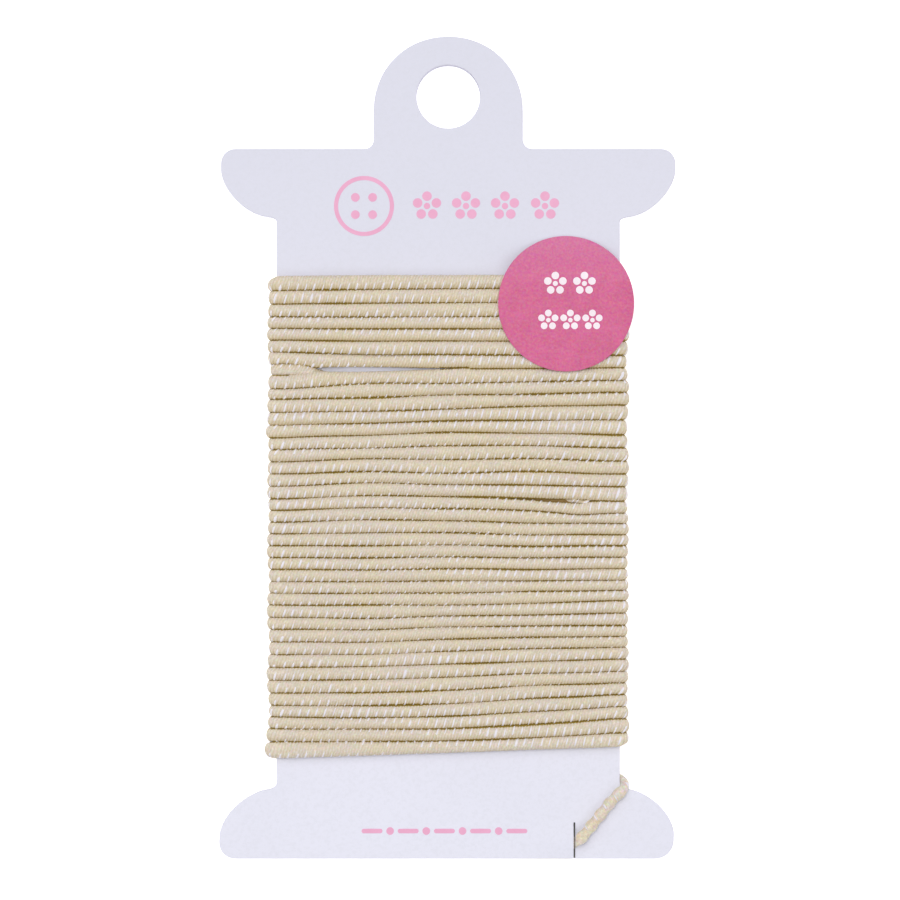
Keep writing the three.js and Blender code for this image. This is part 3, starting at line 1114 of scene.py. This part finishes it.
def flank(part):
    """The curved flank of a wing or foot: a small hollow at the waist, then a brow."""
    waist, wide = CARD["waist_half"], CARD["wing_half"]
    hollow = [(waist, part["from_y"]), (waist, part["corner_y"]), part["hollow"]]
    brow = [part["hollow"], part["handle"], (wide, part["handle_y"]), (wide, part["wide_y"])]
    points = []
    for controls, steps in ((hollow, 6), (brow, 16)):
        for step in range(0 if not points else 1, steps + 1):
            rest = [Vector(control) for control in controls]
            while len(rest) > 1:
                rest = [a.lerp(b, step / steps) for a, b in zip(rest, rest[1:])]
            points.append(tuple(rest[0]))
    return points


def tab_arc(steps):
    """The tab's round top, a little squarer than a circle."""
    radius = CARD["tab_half"]
    power = 2 / CARD["tab_square"]
    return [
        (radius * math.cos(angle) ** power, CARD["top"] - radius + radius * math.sin(angle) ** power)
        for angle in (math.pi / 2 * step / steps for step in range(steps))
    ] + [(0.0, CARD["top"])]


def right_outline():
    """The right half of the card's outline, from the middle of its foot up to the hang hole."""
    hollow = CARD["shoulder_hollow"]
    return [
        (0, CARD["bottom"]),
        *arc(CARD["wing_half"] - CARD["foot_corner"], CARD["bottom"] + CARD["foot_corner"],
             CARD["foot_corner"], -90, 0, 8),
        *reversed(flank(FOOT)),
        *flank(WING),
        *arc(CARD["wing_half"] - CARD["wing_corner"], CARD["shoulder_y"] - CARD["wing_corner"],
             CARD["wing_corner"], 0, 90, 7),
        *arc(CARD["tab_half"] + hollow, CARD["shoulder_y"] + hollow, hollow, 270, 180, 6),
        *tab_arc(24),
        *arc(0, HANG_HOLE["y"], HANG_HOLE["radius"], 90, -90, 32),
    ]


def start_piece(name):
    """The object that was just made, named."""
    piece = bpy.context.object
    piece.name = name
    piece.data.name = name
    return piece


def clear_selection():
    """Leaves edit mode and selects nothing."""
    if bpy.context.object and bpy.context.object.mode != "OBJECT":
        bpy.ops.object.mode_set(mode="OBJECT")
    bpy.ops.object.select_all(action="DESELECT")


def move(x=0.0, y=0.0, z=0.0):
    """What an extrude operator is told, to pull by so many millimetres."""
    return {"value": (x * MM, y * MM, z * MM)}


def draw_outline(points, z):
    """Pulls one vertex along the points, and closes them with a face."""
    clear_selection()
    bpy.ops.mesh.primitive_plane_add(size=MM, location=(points[0][0] * MM, points[0][1] * MM, z * MM))
    piece = start_piece("outline")
    bpy.ops.object.transform_apply(location=True, rotation=True, scale=True)
    bpy.ops.object.mode_set(mode="EDIT")
    bpy.ops.mesh.merge(type="CENTER")
    for before, after in zip(points, points[1:]):
        step = move(after[0] - before[0], after[1] - before[1])
        bpy.ops.mesh.extrude_region_move(TRANSFORM_OT_translate=step)
    bpy.ops.mesh.select_all(action="SELECT")
    bpy.ops.mesh.remove_doubles(threshold=0.001 * MM)
    bpy.ops.mesh.edge_face_add()
    bpy.ops.object.mode_set(mode="OBJECT")
    return piece


def only(piece):
    """Selects one piece and nothing else."""
    clear_selection()
    piece.select_set(True)
    bpy.context.view_layer.objects.active = piece


def smooth_below(piece, degrees):
    """Shades a piece smooth across all edges that turn by less than so many degrees."""
    only(piece)
    bpy.ops.object.shade_smooth_by_angle(angle=math.radians(degrees))


def apply_modifier(piece, kind, **settings):
    bpy.context.view_layer.objects.active = piece
    modifier = piece.modifiers.new(kind.lower(), kind)
    for key, value in settings.items():
        setattr(modifier, key, value)
    bpy.ops.object.modifier_apply(modifier=modifier.name)


def slice_at(piece, xs, ys):
    """Cuts edges right across a piece, so that it can bend there."""
    only(piece)
    bpy.ops.object.mode_set(mode="EDIT")
    for axis, values in ((0, xs), (1, ys)):
        for value in values:
            bpy.ops.mesh.select_all(action="SELECT")
            place = [0.0, 0.0, 0.0]
            place[axis] = value * MM
            normal = [0.0, 0.0, 0.0]
            normal[axis] = 1.0
            bpy.ops.mesh.bisect(plane_co=place, plane_no=normal)
    bpy.ops.object.mode_set(mode="OBJECT")


def thicken(piece, thickness):
    """Pulls a flat face up into a board."""
    bpy.ops.object.mode_set(mode="EDIT")
    bpy.ops.mesh.select_all(action="SELECT")
    bpy.ops.mesh.extrude_region_move(TRANSFORM_OT_translate=move(z=thickness))
    bpy.ops.mesh.select_all(action="SELECT")
    bpy.ops.mesh.normals_make_consistent(inside=False)
    bpy.ops.object.mode_set(mode="OBJECT")


def bend_flaps(piece):
    """The slit's two sides part where the cord goes between them."""
    for vertex in piece.data.vertices:
        x, y, z = vertex.co / MM
        if y >= SLIT["top"]:
            continue
        below = (SLIT["top"] - y) / (SLIT["top"] - CARD["bottom"])
        ease = near(below, 0.55, 0.62)
        away = math.exp(-(((x - SLIT["x"]) / SLIT["spread"]) ** 2))
        side = 1 if x < SLIT["x"] + SLIT["slant"] * (z - BOARD_FACE) else -1
        vertex.co.z += side * SLIT["lift"] * ease * away * MM


def soften_edges(piece, width, degrees):
    """Rounds off the edges that are sharper than so many degrees."""
    angle = math.radians(degrees)
    apply_modifier(
        piece, "BEVEL", width=width * MM, segments=2, limit_method="ANGLE", angle_limit=angle
    )


def cut_slit(piece):
    """Cuts the slanted slit into the right foot, with edges round it where the foot can bend."""
    clear_selection()
    length = SLIT["top"] - CARD["bottom"] + 1
    bpy.ops.mesh.primitive_cube_add(
        size=MM,
        location=(SLIT["x"] * MM, (SLIT["top"] - length / 2) * MM, BOARD_MIDDLE * MM),
        scale=(SLIT["width"], length, 4),
    )
    blade = bpy.context.object
    bpy.ops.object.transform_apply(location=True, rotation=True, scale=True)
    for vertex in blade.data.vertices:
        vertex.co.x += SLIT["slant"] * (vertex.co.z - BOARD_FACE * MM)
    apply_modifier(piece, "BOOLEAN", object=blade, operation="DIFFERENCE", solver="EXACT")
    bpy.data.objects.remove(blade)
    slice_at(
        piece,
        (6, 8, 9.5, 11, 12, 13, 14.8, 15.8, 17, 18.5, 20.5),
        (-40.6, -41.29, -41.8, -42.3, -42.8, -43.3, -43.8, -44.4),
    )
    bend_flaps(piece)


def shift_foot_and_hole(piece):
    """The foot's corners lie a little to the left, and the hang hole is cut at a slight slant."""
    for vertex in piece.data.vertices:
        x, y, z = vertex.co / MM
        down = min(1.0, max(0.0, (-36.0 - y) / 9))
        aside = min(1.0, max(0.0, abs(x) / 5 - 3.2))
        vertex.co.x += CARD["foot_shift"] * down * down * aside * MM
        if z < BOARD_MIDDLE and abs(x) < 4 and 34 < y < 42.5:
            vertex.co.y -= HANG_HOLE["slant"] * MM


def finish_board(piece):
    """White on the card's two faces, the layers of the board on its edges, painted shade in the slit.
    """
    for material in (white_board(), cut_board(), slit_board()):
        piece.data.materials.append(material)
    for face in piece.data.polygons:
        x, y, _ = face.center / MM
        in_slit = abs(x - SLIT["x"]) < 0.5 and SLIT["top"] + 0.1 > y > CARD["bottom"] + 0.1
        if abs(face.normal.z) > (0.8 if in_slit else 0.5):
            face.material_index = 0
        elif in_slit:
            face.material_index = 2
        else:
            face.material_index = 1


def die_cut_card():
    piece = draw_outline(right_outline(), BOARD_BACK)
    piece.name = "die_cut_card"
    apply_modifier(piece, "MIRROR", use_axis=(True, False, False), merge_threshold=0.002 * MM)
    thicken(piece, BOARD_FACE - BOARD_BACK)
    cut_slit(piece)
    shift_foot_and_hole(piece)
    soften_edges(piece, 0.08, 50)
    finish_board(piece)
    smooth_below(piece, 15)
    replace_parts(piece, "card")
    return settle(piece)


die_cut_card()

# The sticker and the prints

STICKER = {"x": 12.93, "y": 15.74, "radius": 7.46, "thickness": 0.14, "z": 4.16, "low_z": 2.56}
STICKER_BEND = {"from_y": 18.7, "to_y": 23.4}
STICKER_RIPPLE = {"height": 0.015, "pitch": 1.38}


def sticker_drop(y):
    """How far the sticker has come down from the winding towards the card at a height."""
    share = (y - STICKER_BEND["from_y"]) / (STICKER_BEND["to_y"] - STICKER_BEND["from_y"])
    share = min(1.0, max(0.0, share))
    return (STICKER["z"] - STICKER["low_z"]) * share * share * (3 - 2 * share)


def drape(piece):
    """Lays a piece over the turns, faintly rippled by them, and down onto the card above them."""
    for vertex in piece.data.vertices:
        y = vertex.co.y / MM
        ripple = STICKER_RIPPLE["height"] * math.sin(2 * math.pi * y / STICKER_RIPPLE["pitch"])
        if y >= STICKER_BEND["from_y"]:
            ripple = 0
        vertex.co.z += (ripple - sticker_drop(y)) * MM


def steps_between(low, high, step):
    """Places a step apart between two ends, without the ends."""
    return [low + i * step for i in range(1, int((high - low) / step))]


def round_sticker():
    clear_selection()
    bpy.ops.mesh.primitive_circle_add(
        vertices=120,
        radius=STICKER["radius"] * MM,
        fill_type="NGON",
        location=(STICKER["x"] * MM, STICKER["y"] * MM, STICKER["z"] * MM),
    )
    piece = start_piece("round_sticker")
    bpy.ops.object.transform_apply(location=True, rotation=True, scale=True)
    thicken(piece, STICKER["thickness"])
    radius = STICKER["radius"]
    slice_at(
        piece,
        steps_between(STICKER["x"] - radius, STICKER["x"] + radius, 1.2),
        steps_between(STICKER["y"] - radius, STICKER["y"] + radius, 0.45),
    )
    drape(piece)
    soften_edges(piece, 0.03, 60)
    piece.data.materials.append(sticker_print())
    piece.data.materials.append(cut_board())
    for face in piece.data.polygons:
        face.material_index = 1 if abs(face.normal.z) < 0.3 else 0
    smooth_below(piece, 35)
    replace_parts(piece, "sticker")
    return settle(piece)


round_sticker()

INK = {"thickness": 0.02, "above": 0.004}


def ink_dot(x, y, z, radius, vertices=24):
    """A printed dot."""
    clear_selection()
    bpy.ops.mesh.primitive_circle_add(
        vertices=vertices, radius=radius * MM, fill_type="NGON", location=(x * MM, y * MM, z * MM)
    )
    dot = bpy.context.object
    bpy.ops.object.transform_apply(location=True, rotation=True, scale=True)
    thicken(dot, INK["thickness"])
    return dot


def ink_ring(x, y, z, outer, inner):
    """A printed ring."""
    ring = ink_dot(x, y, z, outer, 64)
    clear_selection()
    bpy.ops.mesh.primitive_cylinder_add(
        vertices=64, radius=inner * MM, depth=MM, location=(x * MM, y * MM, z * MM)
    )
    punch = bpy.context.object
    apply_modifier(ring, "BOOLEAN", object=punch, operation="DIFFERENCE", solver="EXACT")
    bpy.data.objects.remove(punch)
    return ring


def ink_dash(x, y, z, length, width):
    """A printed dash with round ends."""
    dash = ink_dot(x, y, z, width / 2)
    for vertex in dash.data.vertices:
        side = vertex.co.x - x * MM
        if abs(side) > 0.01 * width * MM:
            vertex.co.x += math.copysign((length - width) / 2 * MM, side)
    return dash


def one_print(name, parts, material):
    """Joins printed marks into one piece."""
    clear_selection()
    for part in parts:
        part.select_set(True)
    bpy.context.view_layer.objects.active = parts[0]
    bpy.ops.object.join()
    piece = start_piece(name)
    piece.data.materials.clear()
    piece.data.materials.append(material)
    return settle(piece)


def flower(x, y, z, size):
    """A small flower of five dots round a middle one."""
    marks = [ink_dot(x, y, z, 0.2 * size)]
    for petal in range(5):
        angle = math.radians(90 + 72 * petal)
        across, up = 0.62 * size * math.cos(angle), 0.62 * size * math.sin(angle)
        marks.append(ink_dot(x + across, y + up, z, 0.3 * size))
    return marks


# Where the prints lie, in pixels of the photograph, and their sizes in millimetres
BUTTON_MARK = {"column": 364, "row": 206, "outer": 3.3, "inner": 2.85, "holes_at": 0.95, "hole": 0.48}
HEADER_FLOWERS = {"columns": (427, 466, 505, 545), "row": 206, "size": 1.75}
FOOT_LINE = {"column": 372, "row": 831, "step": 18.1, "marks": 9, "dot": 0.42, "dash": (2.3, 0.5)}
STICKER_FLOWERS = (
    # column, row, size
    (555, 284, 1.4),
    (584, 284, 1.4),
    (548, 320.5, 1.25),
    (570, 320.5, 1.25),
    (592, 320.5, 1.25),
)


def header_print(ink):
    """A mark like a button with four holes, and a row of flowers."""
    face = BOARD_FACE + INK["above"]
    x, y = at_pixel(BUTTON_MARK["column"], BUTTON_MARK["row"])
    marks = [ink_ring(x, y, face, BUTTON_MARK["outer"], BUTTON_MARK["inner"])]
    at = BUTTON_MARK["holes_at"]
    for across, up in ((at, at), (-at, at), (at, -at), (-at, -at)):
        marks.append(ink_dot(x + across, y + up, face, BUTTON_MARK["hole"]))
    for column in HEADER_FLOWERS["columns"]:
        marks += flower(*at_pixel(column, HEADER_FLOWERS["row"]), face, HEADER_FLOWERS["size"])
    one_print("header_print", marks, ink)


def foot_print(ink):
    """A line of dashes with dots between them."""
    face = BOARD_FACE + INK["above"]
    marks = []
    for i in range(FOOT_LINE["marks"]):
        x, y = at_pixel(FOOT_LINE["column"] + FOOT_LINE["step"] * i, FOOT_LINE["row"])
        if i % 2:
            marks.append(ink_dot(x, y, face, FOOT_LINE["dot"]))
        else:
            marks.append(ink_dash(x, y, face, *FOOT_LINE["dash"]))
    one_print("foot_print", marks, ink)


def flowers_on_sticker(ink):
    """Two rows of small flowers, which lie over the turns as the sticker does."""
    top = STICKER["z"] + STICKER["thickness"] + INK["above"]
    marks = []
    for column, row, size in STICKER_FLOWERS:
        marks += flower(*at_pixel(column, row), top, size)
    drape(one_print("sticker_print", marks, ink))


pink_ink = printed("pink ink", srgb(238, 174, 206), srgb(234, 168, 200))
white_ink = printed("white ink", srgb(250, 240, 246), srgb(244, 230, 238))
header_print(pink_ink)
foot_print(pink_ink)
flowers_on_sticker(white_ink)

# The room

TABLE = {"size": 3, "glow": 0.5, "tones": ((0.9, 0.9, 0.9, 1), (0.92, 0.92, 0.92, 1))}
SKY = 0.45
LAMPS = (
    # name, watts, size, place
    ("soft light from the top", 3.3, 0.7, (-0.25, 0.8, 1.3)),
    ("soft light overhead", 2.24, 0.3, (-0.04, 0.08, 0.75)),
    ("soft light from the foot", 1.8, 0.6, (0.35, -0.72, 1.2)),
)


def room():
    """A pale table under a pale sky, with soft lamps over the card, its top and its foot."""
    clear_selection()
    bpy.ops.mesh.primitive_plane_add(size=TABLE["size"])
    floor = start_piece("floor")
    finish = Finish("pale table", roughness=0.9, specular=0.1)
    finish.shader.inputs["Emission Color"].default_value = (1, 1, 1, 1)
    finish.shader.inputs["Emission Strength"].default_value = TABLE["glow"]
    tone = colour_mix(finish, finish.grain(0.01), *TABLE["tones"])
    floor.data.materials.append(finish.colour(tone))
    world = bpy.data.worlds.new("room")
    bpy.context.scene.world = world
    world.use_nodes = True
    sky = world.node_tree.nodes["Background"]
    sky.inputs["Color"].default_value = (1, 1, 1, 1)
    sky.inputs["Strength"].default_value = SKY
    for name, watts, size, place in LAMPS:
        data = bpy.data.lights.new(name, "AREA")
        data.energy = watts
        data.size = size
        lamp = bpy.data.objects.new(name, data)
        lamp.location = place
        lamp.rotation_euler = (-Vector(place)).to_track_quat("-Z", "Y").to_euler()
        bpy.context.collection.objects.link(lamp)
    bpy.context.scene.view_settings.view_transform = "Standard"


room()
